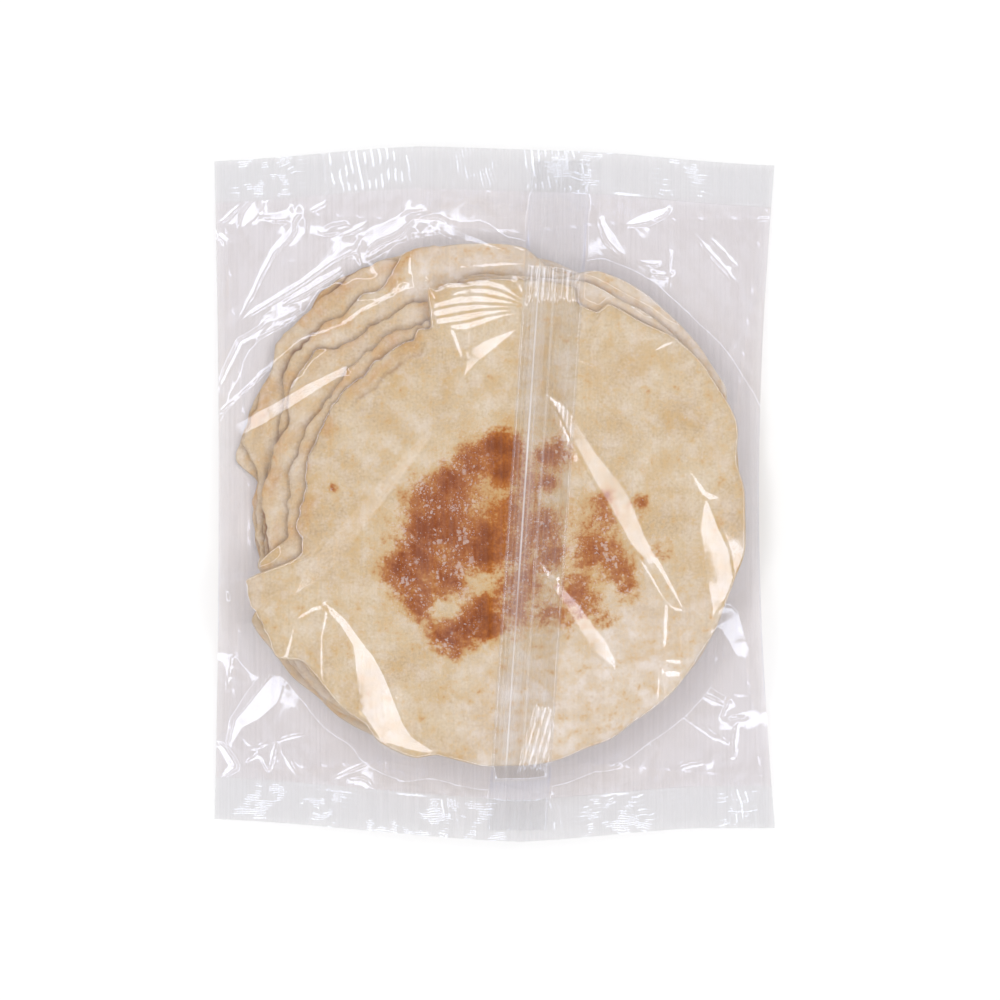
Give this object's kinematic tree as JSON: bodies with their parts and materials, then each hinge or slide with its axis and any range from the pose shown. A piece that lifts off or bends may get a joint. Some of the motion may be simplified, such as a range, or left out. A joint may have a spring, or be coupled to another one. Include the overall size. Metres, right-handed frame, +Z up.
{
  "type": "bagged pita bread",
  "caption": "Sealed clear film bag holding a leaning stack of flat round white pita breads; ribbed fin seam down the back, crimped seal at each end, lying seam side up.",
  "frame": {"origin": "on the table under the middle of the bag's bounding box", "axes": "+Z up from the table, through the stack; +Y along the bag, from one end seal to the other; +X across it, from side fold to side fold"},
  "size_m": [0.1909, 0.2366, 0.023],
  "materials": {
    "pita_bread": "dry floured bread crust, matte",
    "clear_film": "clear glossy packing film"
  },
  "bodies": {
    "root": {"pita_bag": "pita_bread"}
  },
  "joints": []
}
